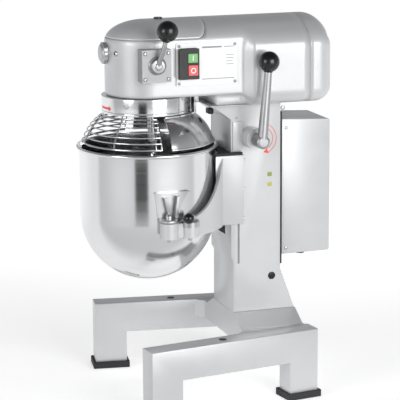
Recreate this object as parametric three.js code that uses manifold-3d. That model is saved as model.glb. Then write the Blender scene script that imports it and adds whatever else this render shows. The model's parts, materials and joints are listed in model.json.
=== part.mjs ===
// A planetary stand mixer of the 20 litre class. Millimetres, +Z up, front towards -Y, bowl lift lever on +X.
// Every piece is drawn about the bowl's own vertical axis, and the whole group is then moved along Y, so that
// the origin lies on the floor in the middle of the mixer's footprint box.
import * as THREE from "three";
import { mergeVertices } from "three/addons/utils/BufferGeometryUtils.js";
import Module from "manifold-3d";

const wasm = await Module();
wasm.setup();

// ---- driving dimensions ----------------------------------------------------------------------------------
const bowlAxisY = -132.5; // where the bowl's axis stands in the finished frame
const gap = 0.3; // between touching or nested pieces

const rail = { length: 427.5, width: 53, top: 163, underside: 89, frontLeg: 77, rearLeg: 74.4 };
const railCentre = { x: 192.4, y: 138.4, splay: THREE.MathUtils.degToRad(8.53) };
const foot = { height: 17, overhang: 6, floor: 7 };

const column = { half: 72, front: 186, rear: 303, base: 187, top: 680.5, footRear: 338, slopeTop: 285 };
const ways = { front: 180, bottom: 310, top: 640 };
const box = { half: 66, front: 307, rear: 429, bottom: 317, top: 640 };

const bowl = { radius: 157, rim: 591, bottom: 274, wall: 2, rimRadius: 162 };
const head = {
  nose: 94.7, bottom: 708, shoulder: 828, top: 878, bulge: 115, bulgeBottom: 681, seam: 360, rear: 421,
};
const drum = { radius: 103.7, bottom: 668, top: 707 };

const yoke = { bottom: 402, top: 565, inner: 168, outer: 178, half: 86, back: 207.7 };
const gib = { front: 195, back: 201, inner: 66, outer: 79, screwX: 76, screwHeights: [414, 483, 552] };
const clamp = { pinX: 178, pinY: -4, studX: 176, studY: 46, top: 441, depth: 36 };
const liftAxis = { y: 230, z: 604 };
const hubAxisZ = 805; // attachment hub and its horizontal shaft
const motorAxisZ = 749;
const orbit = 45; // planet shaft's distance from the bowl axis

// ---- finishes --------------------------------------------------------------------------------------------
const finish = (color, roughness, metalness) => () =>
  new THREE.MeshStandardMaterial({ color, roughness, metalness });
const greyPaint = finish(0xc9cacb, 0.35, 0.3);
const polished = finish(0xd9dadb, 0.15, 1);
const steel = finish(0x9a9c9e, 0.35, 1);
const rubber = finish(0x202022, 0.8, 0);
const blackPlastic = finish(0x111113, 0.25, 0);
const whitePanel = finish(0xf2f2f2, 0.4, 0);
const castGrey = finish(0xa9aaac, 0.5, 0.4);
const gearSteel = finish(0x77797c, 0.4, 1);
const copper = finish(0xb0703c, 0.45, 0.8);
const green = finish(0x3fae3f, 0.4, 0);
const red = finish(0xd93a35, 0.4, 0);

const mixer = new THREE.Group();
mixer.position.y = bowlAxisY;

function add(name, geometry, material, parent = mixer) {
  const mesh = new THREE.Mesh(geometry, material());
  mesh.name = name;
  parent.add(mesh);
  return mesh;
}

// ---- solids ----------------------------------------------------------------------------------------------
// Shared corners merged, collapsed triangles dropped, faces turned outwards.
function weld(geometry) {
  const bare = geometry.clone();
  for (const key of Object.keys(bare.attributes)) if (key !== "position") bare.deleteAttribute(key);
  const merged = mergeVertices(bare, 1e-4);
  const p = merged.attributes.position;
  const index = merged.index.array;
  const kept = [];
  let volume = 0;
  const [a, b, c] = [new THREE.Vector3(), new THREE.Vector3(), new THREE.Vector3()];
  for (let i = 0; i < index.length; i += 3) {
    const [u, v, w] = [index[i], index[i + 1], index[i + 2]];
    if (u === v || v === w || w === u) continue;
    kept.push(u, v, w);
    volume += a.fromBufferAttribute(p, u).dot(b.fromBufferAttribute(p, v).cross(c.fromBufferAttribute(p, w)));
  }
  if (volume < 0) for (let i = 0; i < kept.length; i += 3) [kept[i], kept[i + 1]] = [kept[i + 1], kept[i]];
  merged.setIndex(kept);
  return merged;
}

function toSolid(geometry) {
  const g = weld(geometry);
  const vertProperties = new Float32Array(g.attributes.position.array);
  const triVerts = new Uint32Array(g.index.array);
  return new wasm.Manifold(new wasm.Mesh({ numProp: 3, vertProperties, triVerts }));
}

function fromSolid(solid) {
  const mesh = solid.getMesh();
  const g = new THREE.BufferGeometry();
  g.setAttribute("position", new THREE.BufferAttribute(new Float32Array(mesh.vertProperties), 3));
  g.setIndex(new THREE.BufferAttribute(new Uint32Array(mesh.triVerts), 1));
  return weld(g);
}

const combine = (step) => (first, ...rest) =>
  fromSolid(rest.reduce((solid, g) => solid[step](toSolid(g)), toSolid(first)));
const join = combine("add");
const cut = combine("subtract");
const common = combine("intersect");

// ---- basic shapes ----------------------------------------------------------------------------------------
// A block between two corners.
function block(x0, x1, y0, y1, z0, z1) {
  const g = new THREE.BoxGeometry(x1 - x0, y1 - y0, z1 - z0);
  return weld(g.translate((x0 + x1) / 2, (y0 + y1) / 2, (z0 + z1) / 2));
}

// A round bar from one end to the other along X, Y or Z. The centre gives the other two coordinates.
function bar(axis, radius, from, to, centre = [0, 0], sides = 24) {
  const g = new THREE.CylinderGeometry(radius, radius, to - from, sides);
  const middle = (from + to) / 2;
  if (axis === "x") return weld(g.rotateZ(Math.PI / 2).translate(middle, centre[0], centre[1]));
  if (axis === "y") return weld(g.translate(centre[0], middle, centre[1]));
  return weld(g.rotateX(Math.PI / 2).translate(centre[0], centre[1], middle));
}

// A closed profile of [radius, height] pairs turned about Z.
function turned(profile, sides = 32) {
  const points = profile.map(([r, z]) => new THREE.Vector2(r, z));
  if (profile[0][0] > 0 || profile.at(-1)[0] > 0) points.push(points[0].clone());
  return weld(new THREE.LatheGeometry(points, sides).rotateX(Math.PI / 2));
}

const turnedAlongY = (profile, sides) => turned(profile, sides).rotateX(-Math.PI / 2);

function shapeOf(points) {
  return new THREE.Shape(points.map(([u, v]) => new THREE.Vector2(u, v)));
}

// A plan outline in X and Y raised from z0 to z1.
function raised(points, z0, z1) {
  const g = new THREE.ExtrudeGeometry(shapeOf(points), { depth: z1 - z0, bevelEnabled: false });
  return weld(g.translate(0, 0, z0));
}

// A side outline in Y and Z carried from x0 to x1, its edges broken by a small bevel where one is asked for.
function carried(points, x0, x1, bevel = 0) {
  const options = bevel
    ? { depth: x1 - x0 - 2 * bevel, bevelSize: bevel, bevelThickness: bevel, bevelOffset: -bevel,
      bevelSegments: 2 }
    : { depth: x1 - x0, bevelEnabled: false };
  const g = new THREE.ExtrudeGeometry(shapeOf(points), options).translate(0, 0, bevel);
  const turn = new THREE.Matrix4().makeBasis(
    new THREE.Vector3(0, 1, 0),
    new THREE.Vector3(0, 0, 1),
    new THREE.Vector3(1, 0, 0),
  );
  return weld(g.applyMatrix4(turn).translate(x0, 0, 0));
}

// An outline in X and Z carried from y0 to y1.
function along(points, y0, y1) {
  const g = new THREE.ExtrudeGeometry(shapeOf(points), { depth: y1 - y0, bevelEnabled: false });
  return weld(g.rotateX(Math.PI / 2).translate(0, y1, 0));
}

// A round wire along a list of points.
function wire(points, radius, sides = 6, steps = points.length - 1) {
  const section = Array.from({ length: sides }, (_, i) => {
    const a = (2 * Math.PI * i) / sides;
    return [radius * Math.cos(a), radius * Math.sin(a)];
  });
  const path = new THREE.CatmullRomCurve3(points.map((p) => new THREE.Vector3(...p)));
  return weld(new THREE.ExtrudeGeometry(shapeOf(section), { steps, extrudePath: path, bevelEnabled: false }));
}

const mirrored = (geometry) => weld(geometry.clone().scale(-1, 1, 1));

// ---- base ------------------------------------------------------------------------------------------------
// Two splayed bench-shaped rails, joined by a bridge with a sloping pedestal for the column.
function placeOnRail(geometry) {
  return geometry.rotateZ(railCentre.splay).translate(railCentre.x, railCentre.y, 0);
}

function railBody() {
  const half = rail.length / 2;
  const outline = [
    [-half, foot.floor], [-half + rail.frontLeg, foot.floor], [-half + rail.frontLeg, rail.underside],
    [half - rail.rearLeg, rail.underside], [half - rail.rearLeg, foot.floor], [half, foot.floor],
    [half, rail.top], [-half, rail.top],
  ];
  return placeOnRail(carried(outline, -rail.width / 2, rail.width / 2, 3));
}

const plugAlongRail = 0.053 * rail.length;
const plugHole = () => placeOnRail(bar("z", 9, rail.top - 12, rail.top + 5, [0, -plugAlongRail], 24));
const bridge = raised([[-168, 162], [-140, 186], [140, 186], [168, 162], [185, 162], [163, 339], [-163, 339],
  [-185, 162]], 121, rail.top - 0.5);
const pedestal = along([[-124, rail.top - 2], [124, rail.top - 2], [column.half + 4, column.base - gap],
  [-column.half - 4, column.base - gap]], column.front, column.footRear + 1.5);
const rightRail = cut(railBody(), plugHole());
const cablePass = block(-30, 30, 215, 290, 110, 200);
add("base_frame", cut(join(rightRail, mirrored(rightRail), bridge, pedestal), cablePass), greyPaint);

for (const [side, flip] of [["right", (g) => g], ["left", mirrored]]) {
  const plug = bar("z", 8.6, rail.top - 11, rail.top + 1.5, [0, -plugAlongRail], 24);
  add(`rail_plug_${side}`, flip(placeOnRail(plug)), blackPlastic);
  const half = rail.length / 2;
  for (const [end, y0, y1] of [["front", -half, -half + rail.frontLeg], ["rear", half - rail.rearLeg, half]]) {
    const [w, o] = [rail.width / 2, foot.overhang];
    const pad = block(-w - o, w + o, y0 - o, y1 + o, 0, foot.height);
    const socket = block(-w - gap, w + gap, y0 - gap, y1 + gap, foot.floor - gap, foot.height + 5);
    add(`foot_${end}_${side}`, flip(placeOnRail(cut(pad, socket))), rubber);
  }
}

// ---- column ----------------------------------------------------------------------------------------------
const columnOutline = [
  [column.front, column.base], [column.footRear, column.base], [column.rear, column.slopeTop],
  [column.rear, column.top], [128, column.top], [150, 668], [column.front - 6, 646], [ways.front, ways.top],
  [ways.front, ways.bottom + 12], [column.front, ways.bottom],
];
const gibGroove = block(gib.inner, column.half + 5, gib.front, gib.back, 305, 568);
const columnHoles = [
  block(-58, 58, 198, 292, 170, 676),
  block(-58, 58, 260, 330, 170, 196),
  block(-40, 40, 285, 310, 335, 610),
  block(-30, 30, 170, 205, 368, 518),
  block(-30, 30, 215, 285, 670, 700),
  gibGroove,
  mirrored(gibGroove),
  bar("x", 12.4, 50, 80, [liftAxis.y, liftAxis.z]),
  bar("x", 9, 60, 80, [281, 269], 24),
];
const columnBody = cut(carried(columnOutline, -column.half, column.half, 2.5), ...columnHoles);
const liftCentre = [liftAxis.y, liftAxis.z];
const liftBoss = cut(bar("x", 25, 66, 112, liftCentre), bar("x", 12.4, 50, 120, liftCentre));
add("column", join(columnBody, liftBoss), greyPaint);
add("column_plug", bar("x", 8.6, 62, 73.5, [281, 269], 24), blackPlastic);

// ---- electrical box --------------------------------------------------------------------------------------
const gasketOuter = block(-column.half + 1, column.half - 1, column.rear + gap, box.front - gap, 296, 658);
add("box_gasket", cut(gasketOuter, block(-44, 44, 300, 310, 330, 615)), rubber);
const boxOutline = [[box.front, box.bottom], [box.rear - 3, box.bottom + 1], [box.rear, box.bottom + 4],
  [box.rear, box.top - 10], [box.rear - 4, box.top - 6], [box.front, box.top]];
const [boxWall, boxFloor] = [2, box.bottom + 4];
const boxInside = block(-box.half + boxWall, box.half - boxWall, box.front - 5, box.rear - 2.5, boxFloor,
  box.top - 11);
const glandHole = bar("z", 10.4, box.bottom - 10, box.bottom + 10, [0, 380], 16);
add("control_box", cut(carried(boxOutline, -box.half, box.half, 2), boxInside, glandHole), greyPaint);
const plateHoles = block(-25, 25, 300, 315, 560, 600);
add("mounting_plate", cut(block(-60, 60, box.front + gap, box.front + 3, 330, 620), plateHoles), steel);
add("transformer", block(-35, 35, 311, 366, 350, 420), copper);
add("contactor", block(-45, 0, 311, 375, 460, 530), blackPlastic);
const glandProfile = [[6, -16], [11, -16], [13, -9], [13, -gap], [10, -gap], [10, 4.5], [13, 4.5], [13, 9],
  [6, 9]];
add("cable_gland", turned(glandProfile, 16).translate(0, 380, box.bottom), blackPlastic);

// ---- head ------------------------------------------------------------------------------------------------
// The nose is turned about the bowl axis under an elliptical dome. The same arch runs back to the motor end,
// where a rounded bulge swells round the motor.
const domeRise = head.top - head.shoulder;
function arch(half, base, shoulder, rise, steps = 12) {
  const points = [];
  for (let i = 0; i <= steps; i += 1) {
    const a = (Math.PI * i) / steps;
    points.push([half * Math.cos(a), shoulder + rise * Math.sin(a)]);
  }
  return [...points, [-half, base], [half, base]];
}
function nose(radius, bottom, rise, sides = 32) {
  const profile = [[0, bottom], [radius, bottom]];
  const rings = 6;
  for (let i = 0; i <= rings; i += 1) {
    const a = (Math.PI / 2) * (i / rings);
    profile.push([i === rings ? 0 : radius * Math.cos(a), head.shoulder + rise * Math.sin(a)]);
  }
  return turned(profile, sides);
}
function roundedBlock(half, y0, y1, z0, z1, r) {
  const shape = new THREE.Shape();
  shape.absarc(half - r, z1 - r, r, 0, Math.PI / 2);
  shape.absarc(-half + r, z1 - r, r, Math.PI / 2, Math.PI);
  shape.absarc(-half + r, z0 + r, r, Math.PI, 1.5 * Math.PI);
  shape.absarc(half - r, z0 + r, r, 1.5 * Math.PI, 2 * Math.PI);
  const g = new THREE.ExtrudeGeometry(shape, { depth: y1 - y0, bevelEnabled: false, curveSegments: 5 });
  return weld(g.rotateX(Math.PI / 2).translate(0, y1, 0));
}
// The rear end is rounded over by cutting it with a barrel along X and one along Z.
function quarter(u, v, radius, start, steps = 5) {
  return Array.from({ length: steps + 1 }, (_, i) => {
    const a = start + (Math.PI / 2) * (i / steps);
    return [u + radius * Math.cos(a), v + radius * Math.sin(a)];
  });
}
function roundedRear(solid, inset = 0) {
  const corner = 40;
  const r = corner - inset;
  const middle = head.rear - corner;
  const [low, high, half] = [head.bulgeBottom + inset, head.top - inset + 1, head.bulge - inset + 1];
  const front = -120;
  const side = [[front, low], ...quarter(middle, low + r, r, -Math.PI / 2), ...quarter(middle, high - r, r, 0),
    [front, high]];
  const plan = [[-half, front], [half, front], ...quarter(half - r, middle, r, 0),
    ...quarter(r - half, middle, r, Math.PI / 2)];
  return common(solid, carried(side, -150, 150), raised(plan, low - 5, high + 5));
}
const blendWedge = raised([[-90, 196], [90, 196], [head.bulge - 6, 222], [-head.bulge + 6, 222]], 700, 836);
const headOuter = roundedRear(join(
  nose(head.nose, head.bottom, domeRise),
  along(arch(head.nose, head.bottom, head.shoulder, domeRise), 0, head.rear),
  roundedBlock(head.bulge, 214, head.rear, head.bulgeBottom, 845, 34),
  roundedBlock(76, 120, 260, column.top + gap, 760, 8),
  blendWedge,
));
const inset = 8;
const headInner = roundedRear(join(
  nose(head.nose - inset, head.bottom + inset, domeRise - 2),
  along(arch(head.nose - inset, head.bottom + inset, head.shoulder, domeRise - inset), 0, head.rear),
  roundedBlock(head.bulge - 9, 224, head.rear, head.bulgeBottom + 11, 836, 28),
), inset);
const lidSeam = { rear: 110, low: 840 };
const lidZone = (g) => block(-120, 120, -120, lidSeam.rear - g, lidSeam.low + g, 900);
const capZone = (g) => block(-150, 150, head.seam + g, 460, 600, 900);
const neckPass = block(-28, 28, 218, 280, 675, 720);
const planetPass = bar("z", 84.5, 700, 730, [0, 0], 40);
const hubPass = bar("y", 24, -110, -60, [0, hubAxisZ]);
const oilHole = bar("z", 7.4, 850, 890, [0, 30], 20);
const buttonPass = block(80, 106, 50, 90, 752, 820);
const selectorPass = bar("x", 8.4, 70, 125, [-9, 786], 24);

add("head_casting", cut(headOuter, headInner, lidZone(0), capZone(0), neckPass, planetPass, hubPass, buttonPass,
  selectorPass), greyPaint);
const lid = common(headOuter, lidZone(gap));
const lidInner = nose(head.nose - 7, head.bottom, domeRise - 7);
const lidInnerRear = along(arch(head.nose - 7, head.bottom, head.shoulder, domeRise - 7), 0, lidSeam.rear - 6);
add("head_lid", cut(lid, lidInner, lidInnerRear, oilHole), greyPaint);
const oilPlugProfile = [[0, 866], [7, 866], [7, 879], [10, 879], [10, 881.5], [0, 881.5]];
add("oil_plug", turned(oilPlugProfile, 20).translate(0, 30, 0), blackPlastic);
add("motor_cover", cut(common(headOuter, capZone(gap)), headInner), greyPaint);

// ---- attachment hub --------------------------------------------------------------------------------------
// The cap's shank plugs the round opening in the nose, in front of the horizontal shaft's square end.
const capProfile = [[0, 89], [23.6, 89], [23.6, 95.2], [25, 96.5], [25, 105], [20, 108.5], [0, 109.5]];
add("hub_cap", weld(turnedAlongY(capProfile, 28).scale(1, -1, 1)).translate(0, 0, hubAxisZ), castGrey);

// ---- speed selector --------------------------------------------------------------------------------------
const selectorBlock = block(80, 118, -44, 24, 748, 822);
const noseBlank = bar("z", head.nose + gap, 700, 840, [0, 0], 80);
const sideBlank = block(0, head.nose + gap, 0, 60, 700, 840);
add("selector_housing", cut(selectorBlock, noseBlank, sideBlank, selectorPass), castGrey);
const selectorAxis = [-9, 786];
const selectorHub = bar("x", 17, 118.5, 132, selectorAxis, 28);
const selectorSpindle = bar("x", 8, 78, 125, selectorAxis, 24);
const selectorRod = wire([[126, -8, 790], [131, -3, 815], [141, 3, 848]], 5, 10, 4);
add("selector_lever", join(selectorHub, selectorSpindle, selectorRod), steel);
const selectorKnob = new THREE.Vector3(147, 6.5, 866);
const knob = (radius, at) => weld(new THREE.SphereGeometry(radius, 16, 10).translate(at.x, at.y, at.z));
const selectorRodSleeve = wire([[126, -8, 790], [131, -3, 815], [141, 3, 848]], 5 + gap, 10, 4);
add("selector_knob", cut(knob(24, selectorKnob), selectorRodSleeve), blackPlastic);

// ---- control panel ---------------------------------------------------------------------------------------
add("control_panel", cut(block(95, 98.5, 42, 187, 734, 831), block(80, 110, 50, 90, 752, 820)), whitePanel);
const switchOuter = block(98.8, 109, 46.5, 93, 750, 819);
const startHole = block(90, 120, 66, 90, 787, 809);
const stopHole = block(90, 120, 66, 90, 758, 783);
const switchBack = block(90, 98.9, 51, 89, 753, 819);
add("switch_housing", cut(join(switchOuter, switchBack), startHole, stopHole), blackPlastic);
add("start_button", block(92, 110, 66.4, 89.6, 787.4, 808.6), green);
add("stop_button", block(92, 112, 66.4, 89.6, 758.4, 782.6), red);

// ---- drive train -----------------------------------------------------------------------------------------
// Straight teeth with sloping flanks. The outline starts with a tooth at angle zero.
function teeth(count, module, inwards = 1) {
  const pitch = (count * module) / 2;
  const step = (2 * Math.PI) / count;
  const points = [];
  for (let i = 0; i < count; i += 1) {
    const corners = [[-0.33, -1.15], [-0.13, 0.9], [0.13, 0.9], [0.33, -1.15]];
    for (const [turn, height] of corners) {
      const r = pitch + inwards * module * height;
      points.push([r * Math.cos(step * (i + turn)), r * Math.sin(step * (i + turn))]);
    }
  }
  return points;
}
const ringTeeth = 32;
const planetTeeth = 12;
const gearModule = 4.5;
const ringHole = raised(teeth(ringTeeth, gearModule, -1), 700, 750);
add("ring_gear", cut(bar("z", 84, 711, 734, [0, 0], 48), ringHole), gearSteel);
const planetPhase = Math.PI / planetTeeth;
const planetGear = raised(teeth(planetTeeth, gearModule), 712, 732).rotateZ(planetPhase).translate(orbit, 0, 0);

const plateBore = bar("z", 26.3, 700, 790);
add("gear_plate", cut(join(bar("z", 84, 738, 748, [0, 0], 32), bar("z", 34, 738, 766)), plateBore), castGrey);
const bearing = (z) => cut(bar("z", 26, z, z + 12), bar("z", 12.4, z - 5, z + 20));
add("lower_bearing", bearing(738), polished);
add("upper_bearing", bearing(753), polished);
add("main_shaft", bar("z", 12, 691, 790, [0, 0], 24), steel);
const bevelProfile = [[12.3, 769], [36, 769], [48, 783], [32, 790], [12.3, 790]];
add("bevel_gear", turned(bevelProfile, 36), gearSteel);
// The horizontal shaft has the bevel pinion cut on it and a square end for the attachments.
const hubShaftProfile = [[0, -62], [10, -62], [10, 32], [13.6, 32], [20.6, 48], [16, 58], [10, 58], [10, 178],
  [0, 178]];
const squareEnd = block(-6, 6, -85, -60, -6, 6);
add("hub_shaft", join(turnedAlongY(hubShaftProfile, 28), squareEnd).translate(0, 0, hubAxisZ), steel);

const spurModule = 2.8;
const driveTeeth = 30;
const drivePhase = Math.PI / driveTeeth;
const spurGear = (count, bore, y0, y1, z, phase) => {
  const blank = raised(teeth(count, spurModule), 0, y1 - y0).rotateZ(phase).rotateX(-Math.PI / 2);
  return cut(blank.translate(0, y0, z), bar("y", bore, y0 - 5, y1 + 5, [0, z], 24));
};
add("drive_gear", spurGear(driveTeeth, 10.3, 150, 168, hubAxisZ, drivePhase), gearSteel);
const statorBore = bar("y", 33, 200, 360, [0, motorAxisZ], 32);
add("motor_stator", cut(bar("y", 54, 232, 332, [0, motorAxisZ], 40), statorBore), copper);
const rotorProfile = [[0, 140], [8, 140], [8, 228], [10, 228], [10, 240], [32, 240], [32, 324], [10, 324],
  [10, 368], [0, 368]];
const pinionTeeth = 10;
const motorPinion = raised(teeth(pinionTeeth, spurModule), 0, 20).rotateX(-Math.PI / 2).translate(0, 149, 0);
add("motor_rotor", join(turnedAlongY(rotorProfile, 28), motorPinion).translate(0, 0, motorAxisZ), steel);
const bladeCount = 7;
const fanBlades = Array.from({ length: bladeCount }, (_, i) =>
  block(-2, 2, 346, 362, 12, 46).rotateY((2 * Math.PI * i) / bladeCount));
const fanHub = cut(bar("y", 18, 344, 364, [0, 0], 28), bar("y", 10.3, 330, 380, [0, 0], 24));
const bladeFoot = bar("y", 16, 330, 380, [0, 0], 28);
const fan = fanBlades.reduce((body, blade) => join(body, cut(blade, bladeFoot)), fanHub);
add("motor_fan", fan.translate(0, 0, motorAxisZ), blackPlastic);

// ---- planetary drum and agitator -------------------------------------------------------------------------
const drumProfile = [[drum.radius, drum.top], [drum.radius, drum.bottom + 2], [drum.radius - 2, drum.bottom],
  [96, drum.bottom], [90, 688], [0, 688], [0, drum.top]];
const shaftBoss = bar("z", 26, drum.bottom + 4, 695, [orbit, 0], 32);
const drumBores = [bar("z", 12.3, 680, 720, [0, 0], 24), bar("z", 11.3, 650, 720, [orbit, 0], 24)];
add("planet_drum", cut(join(turned(drumProfile, 40), shaftBoss), ...drumBores), polished);
const shaftProfile = [[0, 604], [11, 604], [11, 709], [10, 709.5], [10, 735], [0, 735]];
const socketBore = bar("z", 8.3, 596, 640, [orbit, 0], 20);
add("planet_shaft", cut(join(turned(shaftProfile, 24).translate(orbit, 0, 0), planetGear), socketBore), steel);
const hookPoints = [[orbit, 0, 636], [orbit, 0, 600], [orbit, 0, 572]];
const hookTurns = 12;
for (let i = 1; i <= hookTurns; i += 1) {
  const t = i / hookTurns;
  const r = 66 * Math.sin(Math.PI * (0.06 + 0.86 * t)) ** 0.9;
  const a = 1.7 * Math.PI * t;
  hookPoints.push([orbit + r * Math.cos(a), r * Math.sin(a), 548 - 250 * t]);
}
add("dough_hook", wire(hookPoints, 8, 8, 32), polished);

// ---- bowl ------------------------------------------------------------------------------------------------
function bowlProfile() {
  const [r, w] = [bowl.radius, bowl.wall];
  const centre = bowl.bottom + r;
  const steps = 6;
  const outer = [];
  const inner = [];
  for (let i = 0; i <= steps; i += 1) {
    const a = (Math.PI / 2) * (i / steps);
    outer.push([r * Math.sin(a), centre - r * Math.cos(a)]);
    inner.push([(r - w) * Math.sin(a), centre - (r - w) * Math.cos(a)]);
  }
  const rim = [[r, bowl.rim - 8], [bowl.rimRadius, bowl.rim - 7], [bowl.rimRadius + 1.5, bowl.rim - 3.5],
    [bowl.rimRadius, bowl.rim], [r - w, bowl.rim]];
  return [...outer, ...rim, ...inner.reverse()];
}
add("bowl", turned(bowlProfile(), 36), polished);
function ear() {
  const plate = cut(bar("z", 160.8, 441.6, 500, [0, 0], 72), bar("z", 157.5, 430, 510, [0, 0], 72));
  const wedge = raised([[100, -24], [200, -24], [200, 22], [100, 22]], 430, 510);
  const tab = cut(block(150, 200, -24, 14, 441.6, 448), bar("z", 158, 430, 460, [0, 0], 72));
  const gusset = (y) => block(159, 176, y, y + 3, 446, 478);
  const hole = bar("z", 8.5, 430, 460, [clamp.pinX, clamp.pinY]);
  return cut(join(common(plate, wedge), tab, gusset(-22), gusset(9)), hole);
}

// ---- bowl yoke and lift ----------------------------------------------------------------------------------
// The saddle slides on the column's ways. From it a wall curves round the bowl, its top edge sweeping down to
// the pair of bosses that carry the bowl's ear on each side.
function wallOutline() {
  const points = [[220, yoke.bottom], [220, yoke.top]];
  for (let degrees = 62; degrees >= 8; degrees -= 6) {
    const y = yoke.outer * Math.sin(THREE.MathUtils.degToRad(degrees));
    const rise = Math.min(yoke.top, clamp.top + 106 * ((degrees - 8) / 50) ** 2.2);
    points.push([y, rise]);
  }
  return [...points, [18, yoke.bottom]];
}
const ringWall = cut(bar("z", yoke.outer, yoke.bottom, yoke.top, [0, 0], 60),
  bar("z", yoke.inner, yoke.bottom - 5, yoke.top + 5, [0, 0], 60));
const wall = common(ringWall, carried(wallOutline(), -200, 200));
const saddle = carried([[132, yoke.bottom], [yoke.back, yoke.bottom], [yoke.back, yoke.top], [132, yoke.top]],
  -yoke.half, yoke.half, 2.5);
const channel = block(-column.half - 0.4, column.half + 0.4, ways.front - 0.4, 230, 380, 600);
const bowlRoom = bar("z", 163.5, 380, 600, [0, 0], 60);
function bosses() {
  return join(bar("z", 21, clamp.top - clamp.depth, clamp.top, [clamp.pinX, clamp.pinY], 28),
    bar("z", 20, clamp.top - clamp.depth, clamp.top, [clamp.studX, clamp.studY], 28),
    block(166, 184, clamp.pinY, clamp.studY, clamp.top - clamp.depth + 1, clamp.top - 3));
}
const liftLug = block(-23, -10, 160, 239, 480, 500);
const liftLink = block(-23, -10, 221, 239, 490, 664);
const leverRoom = bar("z", 14.5, clamp.top, clamp.top + 30, [clamp.studX, clamp.studY]);
const studHoles = [[clamp.pinX, clamp.pinY], [clamp.studX, clamp.studY]].flatMap(([x, y]) => {
  const hole = bar("z", 8.3, clamp.top - 22, clamp.top + 5, [x, y], 20);
  return [hole, mirrored(hole)];
});
const lugSlot = block(-24, -9, 150, 190, 479.5, 500.5);
const gibRoom = join(block(70, gib.outer, gib.front, gib.back, 380, 600),
  ...gib.screwHeights.map((z) => bar("y", 2.8, gib.back - 1, yoke.back + 5, [gib.screwX, z], 12)));
const yokeBlank = join(wall, saddle, bosses(), mirrored(bosses()));
const yokeRooms = [channel, bowlRoom, ...studHoles, leverRoom, mirrored(leverRoom), lugSlot, gibRoom];
add("bowl_yoke", cut(yokeBlank, ...yokeRooms, mirrored(gibRoom)), greyPaint);
add("lift_link", join(cut(liftLug, bowlRoom), liftLink), steel);
const wiperBlank = block(-84, 84, 140, 205, yoke.top + gap, yoke.top + 6);
const wiperChannel = block(-73, 73, ways.front - 0.8, 230, 500, 600);
add("way_wiper", cut(wiperBlank, bar("z", 164, 500, 600, [0, 0], 60), wiperChannel), rubber);

for (const [side, flip] of [["right", (g) => g], ["left", mirrored]]) {
  const [stripFront, stripBack] = [gib.front + gap, gib.back - gap];
  const strip = block(gib.inner + gap, gib.outer - gap, stripFront, stripBack, yoke.bottom + 1, yoke.top - 1);
  const screws = gib.screwHeights.flatMap((z) => [
    bar("y", 2.4, gib.back - 2, yoke.back + 3, [gib.screwX, z], 12),
    bar("y", 3.6, yoke.back + gap, yoke.back + 4.5, [gib.screwX, z], 12),
  ]);
  add(`gib_strip_${side}`, flip(join(strip, ...screws)), steel);
  add(`bowl_ear_${side}`, flip(ear()), polished);
  const pin = turned([[0, clamp.top - 21], [8, clamp.top - 21], [8, 456], [5, 461], [0, 461]], 20);
  add(`bowl_pin_${side}`, flip(pin.translate(clamp.pinX, clamp.pinY, 0)), steel);
  const hub = turned([[0, clamp.top - 21], [8, clamp.top - 21], [8, clamp.top + gap], [13, clamp.top + gap],
    [13, 453], [0, 453]], 24);
  const arm = wire([[176, 46, 448], [188, 41, 449], [200, 36, 452], [207, 33, 454]], 4, 8, 6);
  const lever = join(hub.translate(clamp.studX, clamp.studY, 0), arm);
  add(`clamp_lever_${side}`, flip(lever), steel);
  const armSleeve = wire([[176, 46, 448], [188, 41, 449], [200, 36, 452], [207, 33, 454]], 4.3, 8, 6);
  add(`clamp_knob_${side}`, flip(cut(knob(12.5, new THREE.Vector3(213, 31, 455)), armSleeve)), blackPlastic);
}

const leverFoot = [146, liftAxis.y, liftAxis.z];
const leverEnd = [146, liftAxis.y + 15, liftAxis.z + 166];
const leverHub = bar("x", 16, 112.5, 157, [liftAxis.y, liftAxis.z]);
const liftSpindle = bar("x", 12, -8, 120, [liftAxis.y, liftAxis.z]);
const leverRod = wire([leverFoot, [146, liftAxis.y + 7.5, liftAxis.z + 83], leverEnd], 9, 12, 2);
const crankArm = carried([[220, 600], [240, 600], [237, 661], [223, 661]], -8, 8);
add("lift_lever", join(leverHub, liftSpindle, leverRod, crankArm), steel);
const liftKnob = new THREE.Vector3(146, liftAxis.y + 16.2, liftAxis.z + 182);
const rodSleeve = wire([leverFoot, [146, liftAxis.y + 7.5, liftAxis.z + 83], leverEnd], 9 + gap, 12, 2);
add("lift_knob", cut(knob(24, liftKnob), rodSleeve), blackPlastic);

// ---- bowl guard ------------------------------------------------------------------------------------------
// The guard's section is a curve from the drum's lower edge out to the bowl's rim.
function guardCurve(inset, count) {
  const curve = new THREE.QuadraticBezierCurve(new THREE.Vector2(106.5 - inset, 664 - inset * 0.4),
    new THREE.Vector2(140 - inset, 647 - inset * 0.5), new THREE.Vector2(155.5 - inset, 600));
  return curve.getPoints(count).map((p) => [p.x, p.y]);
}
const guardSides = 48;
const shieldProfile = [...guardCurve(0, 5), ...guardCurve(1.6, 5).reverse()];
const shieldSkin = turned(shieldProfile, guardSides);
const beadSides = 6;
const shieldBead = turned(Array.from({ length: beadSides }, (_, i) => {
  const a = (2 * Math.PI * i) / beadSides;
  return [155 + 3 * Math.cos(a), 600 + 3 * Math.sin(a)];
}), guardSides);
const topBand = turned([[104.6, 661], [107, 661], [107, 667], [104.6, 667]], guardSides);
const rearHalf = block(-200, 200, 12, 200, 550, 700);
const guardArm = join(block(-28, 28, 104, 112, 661, 690), block(-28, 28, 104, 119.5, 684, 707.4));
const drumRoom = bar("z", 104.8, 600, 720, [0, 0], guardSides);
const shield = common(join(shieldSkin, shieldBead, topBand), rearHalf);
add("guard_shield", join(shield, cut(guardArm, drumRoom)), polished);
const switchBody = block(-14, 34, 135, 147, 649, 667);
add("guard_switch", join(switchBody, block(20, 34, 146, 153, 650, 661)), blackPlastic);

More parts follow.
